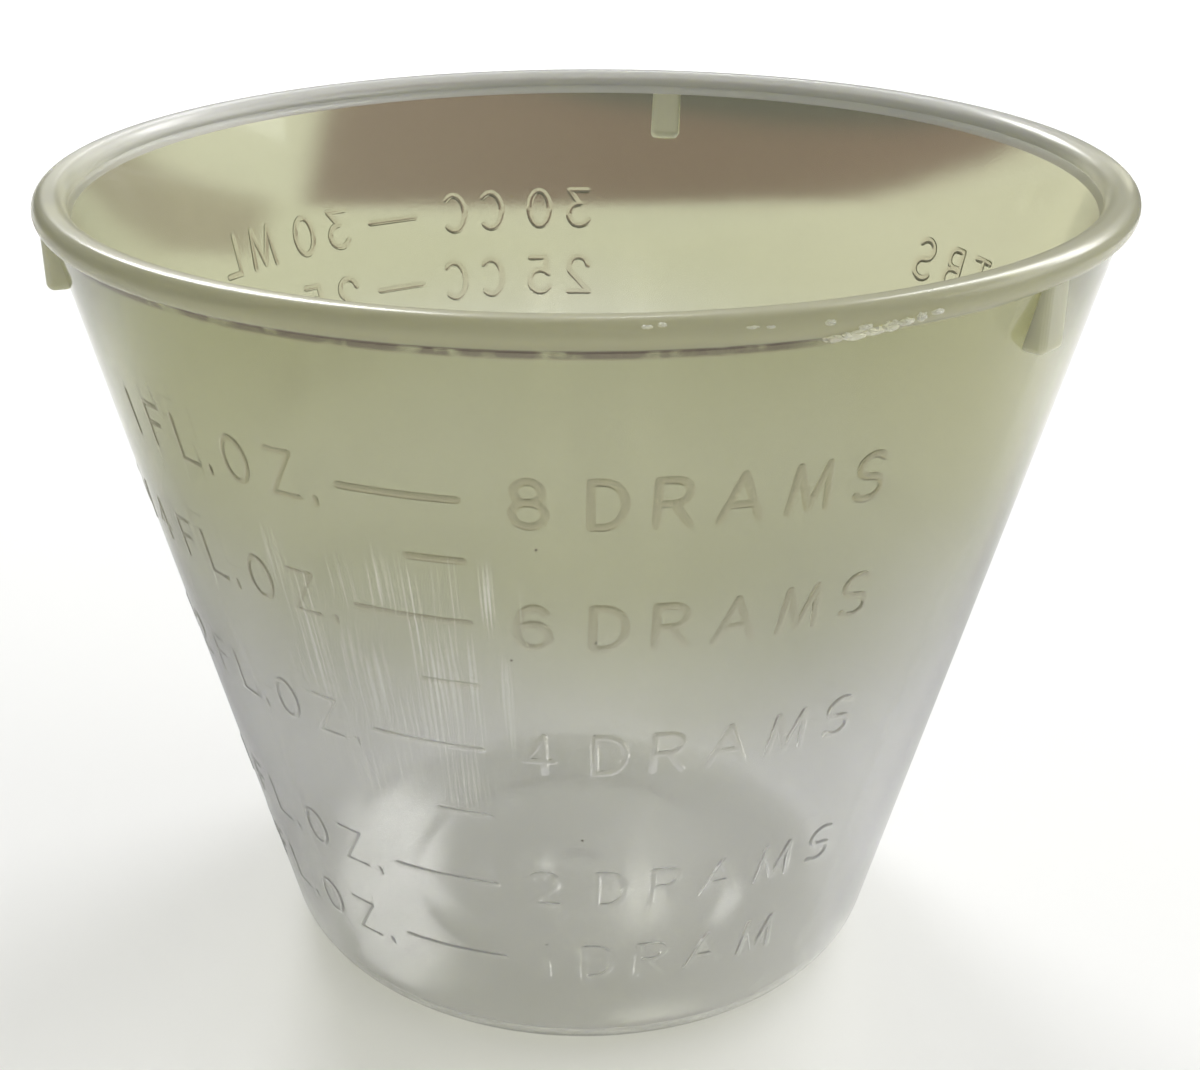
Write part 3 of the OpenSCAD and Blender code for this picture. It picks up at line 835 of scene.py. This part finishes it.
# Floor and light
stage = {
    "paleColour": (0.86, 0.86, 0.85, 1),
    "shadeColour": (0.42, 0.42, 0.42, 1),  # soft shade beside the cup, seen through it
    "shades": [((-0.032, 0.015, 0), 0.05, 1.0), ((0.032, 0.02, 0), 0.045, 0.8)],  # middle, reach, strength
    # a darker far strip, past the pale sheet, that only shows through the plastic
    "stripColour": (0.22, 0.13, 0.135, 1),
    "stripFrom": 0.149,
    "stripLeft": (-0.036, -0.031),
    "farColour": (0.06, 0.062, 0.08, 1),
    "farFrom": 0.203,
    "farSlant": 0.59,
    # a fainter patch of it to the left, past a light gap
    "patchFrom": 0.122,
    "patchUpTo": 0.152,
    "patchRight": (-0.035, -0.040),
    "patchStrength": 0.65,
}


def addFloor():
    deselectAll()
    bpy.ops.mesh.primitive_plane_add(size=3, location=(0, 0, -0.03 * mm))  # a hair of air under the cup
    floor = bpy.context.object
    floor.name = "paleFloor"
    material = bpy.data.materials.new("paleFloor")
    material.use_nodes = True
    tree = material.node_tree
    skin = tree.nodes["Principled BSDF"]
    skin.inputs["Roughness"].default_value = 0.7
    place = makeNode(tree, "ShaderNodeTexCoord").outputs["Object"]
    parts = makeNode(tree, "ShaderNodeSeparateXYZ", values={"Vector": place}).outputs
    slanted = mathNode(tree, "MULTIPLY_ADD", parts["X"], stage["farSlant"], parts["Y"])
    beyond = ramp(tree, slanted, stage["farFrom"] - 0.003, stage["farFrom"] + 0.003)
    strip = mixColour(tree, beyond, stage["stripColour"], stage["farColour"])
    behind = ramp(tree, parts["Y"], stage["stripFrom"] - 0.002, stage["stripFrom"] + 0.002)
    onStrip = product(tree, behind, ramp(tree, parts["X"], *stage["stripLeft"]))
    onPatch = between(tree, parts["Y"], stage["patchFrom"], stage["patchUpTo"], 0.004)
    onPatch = product(tree, ramp(tree, parts["X"], *stage["patchRight"]), onPatch)
    onStrip = mathNode(tree, "MAXIMUM", onStrip, product(tree, onPatch, stage["patchStrength"]))
    # strip and shades only tint what the plastic shows of the floor
    unseen = mathNode(tree, "SUBTRACT", 1.0, makeNode(tree, "ShaderNodeLightPath").outputs["Is Camera Ray"])
    shaded = None
    for middle, reach, strength in stage["shades"]:
        near = product(tree, ramp(tree, distance(tree, place, middle), reach, 0.0), strength)
        shaded = near if shaded is None else mathNode(tree, "MAXIMUM", shaded, near)
    colour = mixColour(tree, product(tree, shaded, unseen), stage["paleColour"], stage["shadeColour"])
    colour = mixColour(tree, product(tree, onStrip, unseen), colour, strip)
    tree.links.new(colour, skin.inputs["Base Color"])
    floor.data.materials.append(material)


def addSoftbox(name, place, aim, size, power, along=None):
    lamp = bpy.data.lights.new(name, "AREA")
    lamp.shape = "RECTANGLE"
    lamp.size, lamp.size_y = size
    lamp.energy = power
    box = bpy.data.objects.new(name, lamp)
    bpy.context.scene.collection.objects.link(box)
    box.location = place
    if along is None:
        box.rotation_euler = (Vector(aim) - Vector(place)).to_track_quat("-Z", "Y").to_euler()
    else:
        back = (Vector(place) - Vector(aim)).normalized()
        up = back.cross(Vector(along)).normalized()
        box.rotation_euler = Matrix((up.cross(back), up, back)).transposed().to_euler()
    box.visible_camera = False


addFloor()


# A pale studio all round, a little dimmer on the left
studio = {
    "bright": (0.63, 0.63, 0.625, 1),
    "dim": (0.25, 0.25, 0.25, 1),
    "dark": (0.05, 0.05, 0.05, 1),
    "brightSide": (0.75, 0.3, 0.5),
}


def addStudio():
    world = bpy.data.worlds.new("studio")
    bpy.context.scene.world = world
    world.use_nodes = True
    tree = world.node_tree
    towards = makeNode(tree, "ShaderNodeTexCoord").outputs["Generated"]
    side = tuple(Vector(studio["brightSide"]).normalized())
    facing = makeNode(tree, "ShaderNodeVectorMath", {"operation": "DOT_PRODUCT"}, {0: towards, 1: side})
    brightness = ramp(tree, facing.outputs["Value"], -0.9, 0.9)
    colour = mixColour(tree, brightness, studio["dim"], studio["bright"])
    # dark low down at the back, for the far edge of the rim
    axes = makeNode(tree, "ShaderNodeSeparateXYZ", values={"Vector": towards}).outputs
    backdrop = product(tree, ramp(tree, axes["Z"], 0.35, 0.15), ramp(tree, axes["Y"], 0.4, 0.8))
    colour = mixColour(tree, backdrop, colour, studio["dark"])
    tree.links.new(colour, tree.nodes["Background"].inputs["Color"])


addStudio()
addSoftbox("keySoftbox", (0.375, 0.388, 0.372), (0, 0, 0.03), (0.40, 0.12), 2.1, (0.783, -0.419, -0.461))
addSoftbox("tallWindow", (-0.16, 0.5, 0.36), (0, 0, 0), (0.2, 0.16), 1.7)
addSoftbox("rightFill", (0.45, 0.05, 0.25), (0.03, 0.03, 0), (0.25, 0.2), 0.35)
addSoftbox("smallLamp", (0.11, 1.2, 0.885), (0, 0, 0), (0.03, 0.02), 0.6)
bpy.context.scene.view_settings.view_transform = "Standard"
print("floor and light set")
